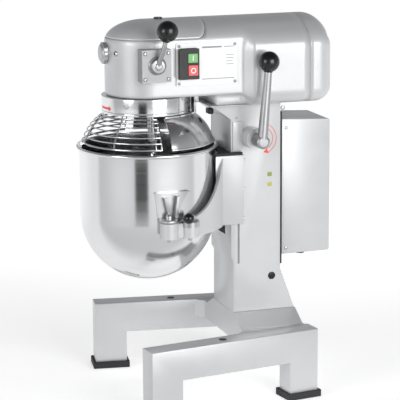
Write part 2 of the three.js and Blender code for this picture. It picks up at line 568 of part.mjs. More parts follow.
const cageInset = 6.5;
const wireRadius = 2;
const ringCount = 6;
const wireSides = 4;
const ringSteps = 12;
const halfRing = (r, z, radius) => {
  const points = [];
  for (let i = 0; i <= ringSteps; i += 1) {
    const a = Math.PI * (1.02 + 0.96 * (i / ringSteps));
    points.push([r * Math.cos(a), r * Math.sin(a), z]);
  }
  return wire(points, radius, wireSides, ringSteps);
};
const cageCurve = guardCurve(cageInset, ringCount - 1);
const edgeRadius = 2.5;
const isEdge = (i) => i === 0 || i === ringCount - 1;
const cageRings = cageCurve.map(([r, z], i) => halfRing(r, z, isEdge(i) ? edgeRadius : wireRadius));
const cageSpokes = [1.021, 1.26, 1.5, 1.74, 1.979].map((turn) => {
  const a = Math.PI * turn;
  return wire(cageCurve.map(([r, z]) => [r * Math.cos(a), r * Math.sin(a), z]), wireRadius, wireSides, 3);
});
const cageLug = cut(block(-9, 9, -164, -146, 597, 603), bar("z", 3, 590, 610, [0, -157], 12));
add("guard_cage", join(...cageRings, ...cageSpokes, cageLug), polished);

export default mixer;
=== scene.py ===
import json
import math

import bmesh
import bpy
import numpy as np
from mathutils import Matrix, Vector


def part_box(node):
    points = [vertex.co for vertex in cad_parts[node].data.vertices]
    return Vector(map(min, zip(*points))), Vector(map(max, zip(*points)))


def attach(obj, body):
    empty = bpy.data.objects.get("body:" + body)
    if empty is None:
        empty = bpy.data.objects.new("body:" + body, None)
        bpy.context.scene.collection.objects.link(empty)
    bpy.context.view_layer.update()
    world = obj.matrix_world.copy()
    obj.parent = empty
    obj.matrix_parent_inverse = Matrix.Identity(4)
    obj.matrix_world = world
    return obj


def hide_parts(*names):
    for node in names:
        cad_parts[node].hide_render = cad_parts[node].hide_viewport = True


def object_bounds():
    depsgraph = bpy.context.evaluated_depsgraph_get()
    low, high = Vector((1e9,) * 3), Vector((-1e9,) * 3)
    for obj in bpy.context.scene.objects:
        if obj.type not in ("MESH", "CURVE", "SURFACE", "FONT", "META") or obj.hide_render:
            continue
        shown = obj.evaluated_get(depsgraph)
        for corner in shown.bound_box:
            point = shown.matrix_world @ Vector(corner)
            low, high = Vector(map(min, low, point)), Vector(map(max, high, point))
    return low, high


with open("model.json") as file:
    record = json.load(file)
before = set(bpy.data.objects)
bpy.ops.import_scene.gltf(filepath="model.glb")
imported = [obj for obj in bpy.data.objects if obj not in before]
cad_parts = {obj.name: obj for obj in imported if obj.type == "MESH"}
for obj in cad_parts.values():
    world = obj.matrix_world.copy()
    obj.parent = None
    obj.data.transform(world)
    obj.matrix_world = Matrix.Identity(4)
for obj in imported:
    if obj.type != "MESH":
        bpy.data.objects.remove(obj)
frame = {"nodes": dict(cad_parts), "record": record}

cad_low, cad_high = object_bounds()

# ---- studio ----------------------------------------------------------------------------------------------
# A pale floor that glows as painted light, under soft light that is brightest from the mixer's lever side.
# The ceiling is dimmer than the walls, and a dark card on the floor, which only reflections show, gives the polished
# bowl a dark stripe.
view = bpy.context.scene.view_settings
view.view_transform = "Standard"
view.look = "None"

camera_azimuth, camera_elevation, camera_roll = np.radians([71.51, 12.033, -0.371])
camera_distance, lens_length, sensor_width = 4.4186, 169.67, 36
aim_shift = Vector((0.0004, -0.004, 0.0025))
aim = (cad_low + cad_high) / 2 + aim_shift
back = Vector((math.sin(camera_azimuth) * math.cos(camera_elevation),
               -math.cos(camera_azimuth) * math.cos(camera_elevation), math.sin(camera_elevation)))
level = (-back).cross(Vector((0, 0, 1))).normalized()
above = level.cross(-back)
right = level * math.cos(camera_roll) + above * math.sin(camera_roll)
up = above * math.cos(camera_roll) - level * math.sin(camera_roll)
camera_data = bpy.data.cameras.new("camera")
camera_data.sensor_width = sensor_width
camera_data.lens = lens_length
camera = bpy.data.objects.new("camera", camera_data)
bpy.context.scene.collection.objects.link(camera)
camera_turn = Matrix((right, up, back)).transposed().to_4x4()
camera.matrix_world = Matrix.Translation(aim + back * camera_distance) @ camera_turn
bpy.context.scene.camera = camera

world = bpy.data.worlds.new("studio")
bpy.context.scene.world = world
world.use_nodes = True
sky = world.node_tree
sky_direction = sky.nodes.new("ShaderNodeTexCoord")
sky_split = sky.nodes.new("ShaderNodeSeparateXYZ")
sky_tone = sky.nodes.new("ShaderNodeValToRGB")
sky.links.new(sky_direction.outputs["Generated"], sky_split.inputs["Vector"])
sky.links.new(sky_split.outputs["Z"], sky_tone.inputs["Fac"])
sky.links.new(sky_tone.outputs["Color"], sky.nodes["Background"].inputs["Color"])
wall_tone, ceiling_tone, ceiling_height, sky_strength = (0.80, 0.81, 0.82, 1), (0.16, 0.16, 0.17, 1), 0.8, 0.75
for stop, position, tone in zip(sky_tone.color_ramp.elements, (0.0, ceiling_height), (wall_tone, ceiling_tone)):
    stop.position = position
    stop.color = tone
sky.nodes["Background"].inputs["Strength"].default_value = sky_strength

# The floor's tone and its glow, which is painted light, change between these distances from the middle of the mixer,
# towards the camera, in metres.
ramp_start, ramp_end = -1.5, 1.0


def flat_card(name, centre, width, depth, tones, glows=((0, 0), (1, 0))):
    """A flat card of the studio, not part of the mixer. Its tone and glow are ramps over the distance towards
    the camera from the middle: share 0 is at ramp_start and share 1 at ramp_end."""
    mesh = bpy.data.meshes.new(name)
    x, y = width / 2, depth / 2
    mesh.from_pydata([(-x, -y, 0), (x, -y, 0), (x, y, 0), (-x, y, 0)], [], [(0, 1, 2, 3)])
    card = bpy.data.objects.new(name, mesh)
    bpy.context.scene.collection.objects.link(card)
    card.location = centre
    surface = bpy.data.materials.new(name)
    surface.use_nodes = True
    nodes, links = surface.node_tree.nodes, surface.node_tree.links
    shader = nodes["Principled BSDF"]
    place = nodes.new("ShaderNodeTexCoord")
    along = nodes.new("ShaderNodeVectorMath")
    along.operation = "DOT_PRODUCT"
    along.inputs[1].default_value = (math.sin(camera_azimuth), -math.cos(camera_azimuth), 0)
    share = nodes.new("ShaderNodeMapRange")
    share.inputs["From Min"].default_value = ramp_start
    share.inputs["From Max"].default_value = ramp_end
    links.new(place.outputs["Object"], along.inputs[0])
    links.new(along.outputs["Value"], share.inputs["Value"])
    for stops, target in ((tones, "Base Color"), (glows, "Emission Strength")):
        ramp = nodes.new("ShaderNodeValToRGB")
        while len(ramp.color_ramp.elements) < len(stops):
            ramp.color_ramp.elements.new(0.5)
        for element, (position, tone) in zip(ramp.color_ramp.elements, stops):
            element.position = position
            element.color = (tone, tone, tone, 1)
        links.new(share.outputs["Result"], ramp.inputs["Fac"])
        links.new(ramp.outputs["Color"], shader.inputs[target])
    shader.inputs["Roughness"].default_value = 0.9
    shader.inputs["Specular IOR Level"].default_value = 0.0
    shader.inputs["Emission Color"].default_value = (1, 1, 1, 1)
    mesh.materials.append(surface)
    return card


floor_size, floor_sink = 60, 0.0005
# The floor's glow is painted light. It is brightest far behind the mixer and dims towards the camera, which keeps the
# backdrop white and lights the mixer from below. In front of the mixer its tone is darker as well.
flat_card("floor", (0, 0, -floor_sink), floor_size, floor_size, ((0, 0.9), (0.645, 0.9), (0.75, 0.68)),
          ((0, 0.8), (0.44, 0.58), (0.645, 0.56), (0.75, 0.32)))
card_azimuth = camera_azimuth - math.radians(7.5)
card_away, card_width, card_height, bowl_forward = 2.0, 0.75, 0.6, 0.13
card_centre = (card_away * math.sin(card_azimuth), -card_away * math.cos(card_azimuth) - bowl_forward, card_height / 2)
card = flat_card("dark_card", card_centre, card_width, card_height, ((0, 0.02), (1, 0.021)))
card.rotation_euler = (math.pi / 2, 0, card_azimuth)
card.visible_camera = False
card.visible_shadow = False
card.visible_diffuse = False


def soft_light(name, place, target, size, power):
    """A square soft box that points at a target."""
    data = bpy.data.lights.new(name, "AREA")
    data.size = size
    data.energy = power
    lamp = bpy.data.objects.new(name, data)
    bpy.context.scene.collection.objects.link(lamp)
    lamp.location = place
    lamp.rotation_mode = "QUATERNION"
    lamp.rotation_quaternion = (Vector(target) - Vector(place)).to_track_quat("-Z", "Y")
    lamp.visible_camera = False
    return lamp


soft_light("side_box", (4.2, 1.2, 1.45), aim, 2.6, 116)
soft_light("front_box", (2.2, -4.2, 1.5), aim, 2.0, 58)

# ---- base casting ----------------------------------------------------------------------------------------
# Two splayed bench-shaped legs, a bridge and a pedestal in one grey iron casting. It is sprayed with silver-grey
# enamel, whose fine grain shows on every painted casting of the mixer.


def coating(name, colour, metallic, roughness, mottle=0.04, grain=900.0, relief=0.02, stretch=(1, 1, 1), coat=0.0,
            broad=14.0):
    """A finish on the piece's own coordinates. Broad noise moves the colour by the mottle share and the
    roughness with it, and fine noise of `grain` cells a metre, stretched along an axis for brushed metal, is
    the relief in millimetres."""
    made = bpy.data.materials.new(name)
    made.use_nodes = True
    nodes, links = made.node_tree.nodes, made.node_tree.links
    shader = nodes["Principled BSDF"]
    place = nodes.new("ShaderNodeTexCoord")
    scale = nodes.new("ShaderNodeMapping")
    scale.inputs["Scale"].default_value = stretch
    links.new(place.outputs["Object"], scale.inputs["Vector"])
    clouds = nodes.new("ShaderNodeTexNoise")
    clouds.inputs["Scale"].default_value = broad
    clouds.inputs["Detail"].default_value = 6
    links.new(scale.outputs["Vector"], clouds.inputs["Vector"])
    pores = nodes.new("ShaderNodeTexNoise")
    pores.inputs["Scale"].default_value = grain
    pores.inputs["Detail"].default_value = 3
    links.new(scale.outputs["Vector"], pores.inputs["Vector"])
    tone = nodes.new("ShaderNodeMix")
    tone.data_type = "RGBA"
    tone.inputs["A"].default_value = (*[c * (1 - mottle) for c in colour], 1)
    tone.inputs["B"].default_value = (*[min(1.0, c * (1 + mottle)) for c in colour], 1)
    links.new(clouds.outputs["Fac"], tone.inputs["Factor"])
    links.new(tone.outputs["Result"], shader.inputs["Base Color"])
    gloss = nodes.new("ShaderNodeMapRange")
    gloss.inputs["From Min"].default_value = 0.3
    gloss.inputs["From Max"].default_value = 0.7
    gloss.inputs["To Min"].default_value = roughness * 0.85
    gloss.inputs["To Max"].default_value = min(1.0, roughness * 1.15)
    links.new(clouds.outputs["Fac"], gloss.inputs["Value"])
    links.new(gloss.outputs["Result"], shader.inputs["Roughness"])
    bump = nodes.new("ShaderNodeBump")
    bump.inputs["Strength"].default_value = 0.6
    bump.inputs["Distance"].default_value = relief * 0.001
    links.new(pores.outputs["Fac"], bump.inputs["Height"])
    links.new(bump.outputs["Normal"], shader.inputs["Normal"])
    shader.inputs["Metallic"].default_value = metallic
    shader.inputs["Coat Weight"].default_value = coat
    shader.inputs["Coat Roughness"].default_value = 0.12
    return made


enamel = coating("silver_enamel", (0.60, 0.605, 0.61), 0.25, 0.34, mottle=0.03, grain=1400, relief=0.03, coat=0.15)


def soften(node, width, finish, segments=3):
    """Rounds the sharp edges of a piece that keeps its machined shape: loose triangles are welded, flat
    neighbours joined, and each edge gets a round of that width in millimetres."""
    piece = frame["nodes"][node]
    piece.data.polygons.foreach_set("use_smooth", np.ones(len(piece.data.polygons), bool))
    own_normals = piece.data.attributes.get("custom_normal")
    if own_normals:
        piece.data.attributes.remove(own_normals)
    weld = piece.modifiers.new("weld", "WELD")
    weld.merge_threshold = 2e-5
    flat = piece.modifiers.new("flat", "DECIMATE")
    flat.decimate_type = "DISSOLVE"
    flat.angle_limit = math.radians(0.6)
    edge = piece.modifiers.new("edge", "BEVEL")
    edge.width = width * 0.001
    edge.segments = segments
    edge.limit_method = "ANGLE"
    edge.angle_limit = math.radians(32)
    edge.harden_normals = True
    piece.data.materials.clear()
    piece.data.materials.append(finish)
    return piece


soften("base_frame", 4.5, enamel)

# ---- rubber shoes ----------------------------------------------------------------------------------------
# A moulded rubber shoe is pushed on each of the four leg ends.
rubber = coating("black_rubber", (0.022, 0.022, 0.024), 0.0, 0.72, mottle=0.25, grain=600, relief=0.12)
for end in ("front", "rear"):
    for side in ("right", "left"):
        soften(f"foot_{end}_{side}", 1.8, rubber)

# ---- column ----------------------------------------------------------------------------------------------
# A cast box column with machined ways at its front, where the yoke slides. A boss carries the lift spindle.
soften("column", 2.2, enamel)

# Everything below is drawn in millimetres about the bowl's own axis, and placed in the frame when it is built.
bowl_low, bowl_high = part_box("bowl")
bowl_axis = np.array([(bowl_low.x + bowl_high.x) / 2, (bowl_low.y + bowl_high.y) / 2, 0.0])


def span(node):
    """Lowest and highest corner of a piece of the frame, in millimetres about the bowl's axis."""
    low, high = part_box(node)
    return (np.array(low) - bowl_axis) * 1000, (np.array(high) - bowl_axis) * 1000


def grid(points, wrap_rows=False, wrap_columns=False, caps=False):
    """Points and quads of a grid of rows and columns. Caps close the first and last row with a flat face."""
    points = np.asarray(points, float)
    rows, columns = points.shape[:2]
    i = np.arange(rows if wrap_rows else rows - 1)[:, None]
    j = np.arange(columns if wrap_columns else columns - 1)[None, :]
    ends = [i * columns + j, i * columns + (j + 1) % columns, (i + 1) % rows * columns + (j + 1) % columns,
            (i + 1) % rows * columns + j]
    faces = np.stack(np.broadcast_arrays(*ends), -1).reshape(-1, 4).tolist()
    if caps:
        faces += [list(range(columns))[::-1], list(range((rows - 1) * columns, rows * columns))]
    return points.reshape(-1, 3), faces


def turned(profile, sides=96, axis="z", centre=(0, 0, 0), closed=False):
    """A profile of [radius, height] turned about a line along the axis: x = r cos a, y = r sin a, z = height."""
    r, h = np.asarray(profile, float).T
    a = np.linspace(0, 2 * np.pi, sides, endpoint=False)
    x, y = r[:, None] * np.cos(a), r[:, None] * np.sin(a)
    z = h[:, None] + 0 * a
    order = {"z": (x, y, z), "x": (z, x, y), "y": (y, z, x)}[axis]
    points, faces = grid(np.stack(order, -1), wrap_rows=closed, wrap_columns=True)
    return points + np.asarray(centre, float), faces


def eased(corners, radius, closed=True, steps=5):
    """A line through corners, each corner replaced by a parabola that starts and ends a radius away from it."""
    p = np.asarray(corners, float)
    before, after = np.roll(p, 1, 0), np.roll(p, -1, 0)
    r = np.broadcast_to(np.asarray(radius, float), len(p))[:, None]

    def towards(q):
        """The point a radius away from each corner on the way to q, or nearly half way where the side is short."""
        d = q - p
        length = np.linalg.norm(d, axis=1, keepdims=True)
        return p + d / length * np.minimum(r, 0.48 * length)

    start, end = towards(before), towards(after)
    t = np.linspace(0, 1, steps)[None, :, None]
    curve = (1 - t) ** 2 * start[:, None] + 2 * t * (1 - t) * p[:, None] + t ** 2 * end[:, None]
    if closed:
        return curve.reshape(-1, p.shape[1])
    return np.concatenate([p[:1], curve[1:-1].reshape(-1, p.shape[1]), p[-1:]])


def plate(outline, low, high, edge, axis="x", steps=4):
    """A flat outline given a thickness from low to high along the axis, its edges rounded: near a face the
    outline draws in by edge (1 - cos t) while the height grows by edge (1 - sin t). The outline runs
    anticlockwise."""
    o = np.asarray(outline, float)
    tangent = np.roll(o, -1, 0) - np.roll(o, 1, 0)
    inward = np.stack([-tangent[:, 1], tangent[:, 0]], 1) / np.linalg.norm(tangent, axis=1, keepdims=True)
    t = np.linspace(0, np.pi / 2, steps)
    draw_in = np.concatenate([edge * (1 - np.sin(t)), edge * (1 - np.sin(t[::-1]))])
    height = np.concatenate([low + edge * (1 - np.cos(t)), high - edge * (1 - np.cos(t[::-1]))])
    flat = o[None] + inward[None] * draw_in[:, None, None]
    u, v, w = flat[..., 0], flat[..., 1], height[:, None] + 0 * flat[..., 0]
    order = {"z": (u, v, w), "x": (w, u, v), "y": (v, w, u)}[axis]
    return grid(np.stack(order, -1), wrap_columns=True, caps=True)


def rectangle(u0, u1, v0, v1, radius):
    """An anticlockwise rectangle with eased corners."""
    return eased([[u0, v0], [u1, v0], [u1, v1], [u0, v1]], radius)


def tube(path, radius, sides=20):
    """A round section carried along a path, square to it at every point. The radius may change on the way."""
    p = np.asarray(path, float)
    tangent = np.gradient(p, axis=0)
    tangent /= np.linalg.norm(tangent, axis=1, keepdims=True)
    first = np.cross(tangent[0], [0.31, 0.95, 0.05])
    normals = [first / np.linalg.norm(first)]
    for t in tangent[1:]:
        n = normals[-1] - t * (normals[-1] @ t)
        normals.append(n / np.linalg.norm(n))
    normals = np.array(normals)
    binormals = np.cross(tangent, normals)
    a = np.linspace(0, 2 * np.pi, sides, endpoint=False)[None, :, None]
    r = np.broadcast_to(np.asarray(radius, float), len(p))[:, None, None]
    rings = p[:, None] + r * (np.cos(a) * normals[:, None] + np.sin(a) * binormals[:, None])
    return grid(rings, wrap_columns=True, caps=True)


def aimed(part, centre, direction):
    """Turns a part drawn about Z so that its Z points along the direction, and moves it to the centre."""
    points, faces = part
    turn = np.array(Vector(direction).to_track_quat("Z", "Y").to_matrix())
    return points @ turn.T + np.asarray(centre, float), faces


def mirrored(part):
    """The same part on the other side of the mixer."""
    points, faces = part
    return points * [-1, 1, 1], [face[::-1] for face in faces]


def build(name, parts, finish, body, stands_for=(), crease=35):
    """Joins parts into one piece of the mixer, closes their seams and poles, and lets it ride on its body."""
    points, faces, start = [], [], 0
    for part_points, part_faces in parts:
        points.append(part_points)
        faces += [[start + i for i in face] for face in part_faces]
        start += len(part_points)
    mesh = bpy.data.meshes.new(name)
    mesh.from_pydata((np.concatenate(points) * 0.001 + bowl_axis).tolist(), [], faces)
    work = bmesh.new()
    work.from_mesh(mesh)
    bmesh.ops.delete(work, geom=[v for v in work.verts if not v.link_faces], context="VERTS")
    bmesh.ops.remove_doubles(work, verts=work.verts, dist=2e-6)
    bmesh.ops.dissolve_degenerate(work, edges=work.edges, dist=1e-6)
    bmesh.ops.recalc_face_normals(work, faces=work.faces)
    work.to_mesh(mesh)
    work.free()
    mesh.shade_smooth()
    mesh.set_sharp_from_angle(angle=math.radians(crease))
    mesh.materials.append(finish)
    piece = bpy.data.objects.new(name, mesh)
    bpy.context.scene.collection.objects.link(piece)
    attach(piece, body)
    if stands_for:
        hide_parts(*stands_for)
    return piece


def screw(centre, direction, radius, height):
    """A round-headed screw with a socket in its head."""
    r, h = radius, height
    profile = [[0, -1], [r, -1], [r, 0.35 * h], [0.92 * r, 0.72 * h], [0.7 * r, 0.95 * h], [0.5 * r, h],
               [0.45 * r, 0.95 * h], [0.42 * r, 0.25 * h], [0, 0.25 * h]]
    return aimed(turned(profile, 28), centre, direction)


bright_steel = coating("bright_steel", (0.56, 0.57, 0.58), 1.0, 0.28, mottle=0.08, grain=2500, relief=0.01)
column_side, screw_y, screw_z = 72.0, 308, 667
build("column_screws", [screw((side * column_side, screw_y, screw_z), (side, 0, 0), 5, 3) for side in (1, -1)],
      bright_steel, "frame")

build("way_end_plate", [plate(rectangle(184, 208, 573, 641, 2), column_side - 1, column_side + 3.6, 1)], enamel,
      "frame")
build("way_end_screw", [screw((column_side - 3, 194, 649), (0.5, -0.2, 1), 4, 4)], bright_steel, "frame")

phenolic = coating("black_phenolic", (0.006, 0.006, 0.007), 0.0, 0.2, mottle=0.2, grain=500, relief=0.02, coat=0.1)


def capped(radius, low, high):
    """A plug with a flat rounded head: [radius, height] from the axis round to the axis."""
    return [[0, low], [radius * 0.9, low], [radius * 0.9, high - 2], [radius, high - 2], [radius, high - 0.8],
            [radius * 0.93, high - 0.2], [radius * 0.8, high], [0, high]]


plug_radius = 8.6
plug_low, plug_high = span("column_plug")
middle = (plug_low + plug_high) / 2
build("column_plug_moulded", [turned(capped(plug_radius, plug_low[0], plug_high[0]), 48, "x",
      (0, middle[1], middle[2]))], phenolic, "frame", ["column_plug"])
for side in ("right", "left"):
    plug_low, plug_high = span(f"rail_plug_{side}")
    middle = (plug_low + plug_high) / 2
    build(f"rail_plug_{side}_moulded", [turned(capped(plug_radius, plug_low[2], plug_high[2]), 48, "z",
          (middle[0], middle[1], 0))], phenolic, "frame", [f"rail_plug_{side}"])

# Printed foil marks stand a little proud of the paint: a turning arrow beside the lift lever, and two small
# labels.
red_foil = coating("red_foil", (0.80, 0.07, 0.05), 0.0, 0.35, mottle=0.05, grain=300, relief=0.01)
green_foil = coating("green_foil", (0.27, 0.34, 0.08), 0.0, 0.35, mottle=0.05, grain=300, relief=0.01)
yellow_foil = coating("yellow_foil", (0.50, 0.47, 0.12), 0.0, 0.35, mottle=0.05, grain=300, relief=0.01)


arrow_y, arrow_z = 256, 597
foil_back, foil_front = column_side - 0.3, column_side + 0.2


def foil_arc(radius, half_width, angle):
    """A thin foil strip bent round the lift arrow's centre on the column's side."""
    inner, outer = [np.stack([arrow_y + r * np.cos(angle), arrow_z + r * np.sin(angle)], 1)
                    for r in (radius - half_width, radius + half_width)]
    rows = [np.concatenate([np.full((len(angle), 1), x), edge], 1)
            for x, edge in ((foil_back, inner), (foil_front, inner), (foil_front, outer), (foil_back, outer))]
    return grid(np.stack(rows, 1), wrap_columns=True, caps=True)


arrow_sweep, line_half, head_turn = np.radians(62), 0.7, 0.34
angle = arrow_sweep * np.linspace(-1, 1, 61)
arrow_parts = [foil_arc(radius, line_half, angle) for radius in (27, 36)]
for sign in (-1, 1):
    tip = arrow_sweep * sign + np.linspace(0, head_turn, 12) * sign
    arrow_parts.append(foil_arc(31.5, np.linspace(7.5, 0.3, 12), tip))
build("lift_arrow_mark", arrow_parts, red_foil, "frame", crease=20)
for name, height, foil, slot in (("green_mark", 512.8, green_foil, "green_plastic"),
                                 ("yellow_mark", 489.1, yellow_foil, "green_plastic")):
    build(name, [plate(rectangle(270, 281, height - 5, height + 5, 1.5), foil_back, foil_front, 0.1)], foil, "frame")

# ---- electrical box --------------------------------------------------------------------------------------
# A folded steel cover screwed on the back of the column over a black foam gasket, with the cord's gland below.
soften("control_box", 2.5, enamel)
soften("box_gasket", 1.0, rubber)
box_low, box_high = span("control_box")
build("box_screws", [screw((x, box_low[1] + 12, z), (np.sign(x), 0, 0), 4, 2.4)
                     for x in (box_low[0], box_high[0]) for z in (box_low[2] + 14, box_high[2] - 22)], bright_steel,
      "frame")

# ---- head ------------------------------------------------------------------------------------------------
# The gear head is one hollow casting with a separate front lid and a motor cover. Its section is an arch: flat
# sides 189 mm apart under half an ellipse. The nose is the arch's half outline turned about the bowl's axis,
# and behind the column the section swells smoothly into a rounded block round the motor.
nose_radius, head_bottom, shoulder, head_top = 94.7, 708.0, 828.0, 878.0
block_half, block_bottom, block_top = 115.0, 681.0, 845.0
head_centre = 770.0
lid_level, lid_side, lid_back = 840.0, 97.0, 126.0
cover_seam, head_rear, rear_round = 360.0, 421.0, 40.0
neck_half, neck_top = 76, 780
neck_start, neck_end, motor_start, motor_end = 132, 147, 198, 228
shell_wall = 5


def meet(a, b, r):
    """Where two outlines cross outwards, with a round of radius r on the corner (signed distances)."""
    return np.minimum(np.maximum(a + r, b + r), 0) + np.hypot(np.maximum(a + r, 0), np.maximum(b + r, 0)) - r


def blend(a, b, k):
    """Two outlines joined by a fillet k wide (signed distances)."""
    h = np.clip(0.5 + 0.5 * (b - a) / k, 0, 1)
    return b * (1 - h) + a * h - k * h * (1 - h)


def arch(x, z):
    """Signed distance to the arch section."""
    rise = head_top - shoulder
    u, v = x / nose_radius, (z - shoulder) / rise
    k = np.hypot(u, v)
    slope = np.hypot(u / nose_radius, v / rise) + 1e-9
    side = np.where(z < shoulder, np.abs(x) - nose_radius, k * (k - 1) / slope)
    return meet(side, head_bottom - z, 5)


def block(x, z, half, low, high, r):
    """Signed distance to an upright block section with round corners."""
    across = np.abs(x) - (half - r)
    rise = np.abs(z - (low + high) / 2) - ((high - low) / 2 - r)
    return np.hypot(np.maximum(across, 0), np.maximum(rise, 0)) + np.minimum(np.maximum(across, rise), 0) - r


sections = {
    "nose": arch,
    "neck": lambda x, z: blend(arch(x, z), block(x, z, neck_half, block_bottom, neck_top, 8), 10),
    "motor": lambda x, z: blend(arch(x, z), block(x, z, block_half, block_bottom, block_top, 34), 16),
}


def reach(section, bearing, inset=0.0):
    """How far a section lies from the head's centre line in each bearing, 0 being straight down."""
    near, far = np.zeros_like(bearing), np.full_like(bearing, 300.0)
    for _ in range(44):
        middle = (near + far) / 2
        inside = sections[section](middle * np.sin(bearing), head_centre - middle * np.cos(bearing)) + inset < 0
        near, far = np.where(inside, middle, near), np.where(inside, far, middle)
    return near


def bearing_at(z):
    """The bearing of the arch's own outline at a height above the shoulder."""
    w = nose_radius * math.sqrt(1 - ((z - shoulder) / (head_top - shoulder)) ** 2)
    return math.atan2(w, head_centre - z)


lid_gap = 0.45
seam_low, seam_high = bearing_at(lid_level - lid_gap), bearing_at(lid_level + lid_gap)
bearings = np.linspace(0, np.pi, 150)
bearings = bearings[(np.abs(bearings - seam_low) > 0.012) & (np.abs(bearings - seam_high) > 0.012)]
bearings = np.sort(np.concatenate([bearings, [seam_low, seam_high]]))
seam = int(np.searchsorted(bearings, seam_low))
nose_reach = reach("nose", bearings)
arch_half, arch_height = nose_reach * np.sin(bearings), head_centre - nose_reach * np.cos(bearings)
arch_half[[0, -1]] = 0


def round_nose(half, height, y_end):
    """The arch's half outline carried along a U in plan: from y_end forwards on one side, round the bowl's
    axis and back. Each row is one height, and its U has that row's half width."""
    straight = np.array([1, 0.923, 0.8, 0.66, 0.52, 0.34, 0.17, 0])[:, None]
    a = np.linspace(0, np.pi, 73)[1:-1, None]
    x = np.concatenate([half + 0 * straight, half * np.cos(a), -half + 0 * straight[::-1]])
    sides = y_end * straight + 0 * half
    y = np.concatenate([sides, -half * np.sin(a), sides[::-1]])
    return np.stack([x.T, y.T, (height + 0 * x).T], -1)


def ring_of(reaches, y):
    """One section of the head from bottom centre up one side, over the top and down the other."""
    x, z = reaches * np.sin(bearings), head_centre - reaches * np.cos(bearings)
    x[[0, -1]] = 0
    right_half = np.stack([x, y + 0 * x, z], -1)
    left_half = right_half[-2:0:-1] * [-1, 1, 1]
    return np.concatenate([right_half, left_half])


def smooth_step(y, start, end):
    """Rises from 0 at the start to 1 at the end: 3 t squared less 2 t cubed."""
    t = np.clip((y - start) / (end - start), 0, 1)
    return t * t * (3 - 2 * t)


def lid_edge(z):
    """The lid's rear seam bows back from the sides to the ridge."""
    share = np.clip((z - lid_level) / (head_top - lid_level), 0, 1)
    return lid_side + (lid_back - lid_side) * np.sqrt(share)


neck_reach, motor_reach = reach("neck", bearings), reach("motor", bearings)
first_row = np.where(np.arange(len(bearings)) > seam, lid_edge(arch_height) + 2 * lid_gap, lid_side)
stations = np.concatenate([[0, 0.5, 1], np.linspace(neck_start + 1, neck_end, 7), [170, 194],
                           np.linspace(motor_start, motor_end, 14), np.linspace(240, cover_seam - lid_gap, 8)])
rows = []
for station in stations:
    y = first_row + (neck_start - first_row) * station if station <= 1 else station + 0 * first_row
    r = nose_reach + (neck_reach - nose_reach) * smooth_step(y, neck_start, neck_end)
    rows.append(ring_of(r + (motor_reach - r) * smooth_step(y, motor_start, motor_end), y))
nose_points, nose_faces = grid(round_nose(arch_half[:seam + 1], arch_height[:seam + 1], lid_side))
# A window behind the switch leaves room for its keys.
window_low, window_high = (90, 50.4, 753), (100, 89.6, 819)
middles = nose_points[np.array(nose_faces)].mean(1)
in_window = np.all((middles > window_low) & (middles < window_high), axis=1)
nose_faces = [face for face, cut_away in zip(nose_faces, in_window) if not cut_away]


def shell(piece, thickness):
    """Gives an open casting its wall, inwards."""
    wall = piece.modifiers.new("wall", "SOLIDIFY")
    wall.thickness = thickness * 0.001
    wall.offset = -1
    return piece


shell(build("head_shell", [(nose_points, nose_faces), grid(rows, wrap_columns=True)], enamel, "frame",
            ["head_casting"]), shell_wall)
lid_half, lid_height = arch_half[seam + 1:], arch_height[seam + 1:]
shell(build("head_lid_shell", [grid(round_nose(lid_half, lid_height, lid_edge(lid_height)))], enamel, "frame",
            ["head_lid"]), shell_wall)

turn_in = np.linspace(0, np.pi / 2, 12)
cover_rows = [ring_of(motor_reach, cover_seam + lid_gap), ring_of(motor_reach, 371)]
cover_rows += [ring_of(reach("motor", bearings, rear_round * (1 - math.cos(a))),
                       head_rear - rear_round + rear_round * math.sin(a)) for a in turn_in]
last = reach("motor", bearings, rear_round)
cover_rows += [ring_of(last * share, head_rear) for share in (0.75, 0.5, 0.25, 0)]
shell(build("motor_cover_shell", [grid(cover_rows, wrap_columns=True)], enamel, "frame",
            ["motor_cover"]), shell_wall)
oil_low, oil_high = span("oil_plug")
oil_middle = (oil_low + oil_high) / 2
build("oil_plug_moulded", [turned(capped(10, oil_low[2], oil_high[2]), 48, "z", (oil_middle[0], oil_middle[1], 0))],
      phenolic, "frame", ["oil_plug"])

# ---- attachment hub --------------------------------------------------------------------------------------
# A cast cap with a waved grip edge closes the round socket of the attachment drive. A thumb screw beside it
# locks an attachment in the socket.
cast_metal = coating("cast_aluminium", (0.50, 0.51, 0.52), 0.85, 0.42, mottle=0.10, grain=420, relief=0.25)
cap_low, cap_high = span("hub_cap")
hub_z = (cap_low[2] + cap_high[2]) / 2
cap_back = cap_high[1]
wave = np.linspace(0, 2 * np.pi, 144, endpoint=False)
cap_profile = eased([[0, 20.5], [17, 19.6], [20, 17.5], [21, 16], [24.4, 15], [24.4, 6.5], [22, 5], [22, 0], [0, 0]],
                    0.9, closed=False)
share = np.clip((cap_profile[:, 0] - 20) / 4.4, 0, 1)[:, None]
wave_depth, wave_count = 0.6, 10
cap_r = cap_profile[:, :1] + share * wave_depth * np.cos(wave_count * wave)
cap_y = cap_back - cap_profile[:, 1:] + 0 * wave
cap_grid = np.stack([cap_r * np.cos(wave), cap_y, hub_z + cap_r * np.sin(wave)], -1)
build("hub_cap_cast", [grid(cap_grid, wrap_columns=True)], cast_metal, "frame", ["hub_cap"])
thumb = math.radians(-61.5)
thumb_way = (math.cos(thumb), math.sin(thumb), 0)
thumb_reach, thumb_z = 93.5, 808
build("hub_thumb_screw", [screw((thumb_reach * thumb_way[0], thumb_reach * thumb_way[1], thumb_z), thumb_way, 6, 6)],
      bright_steel, "frame")

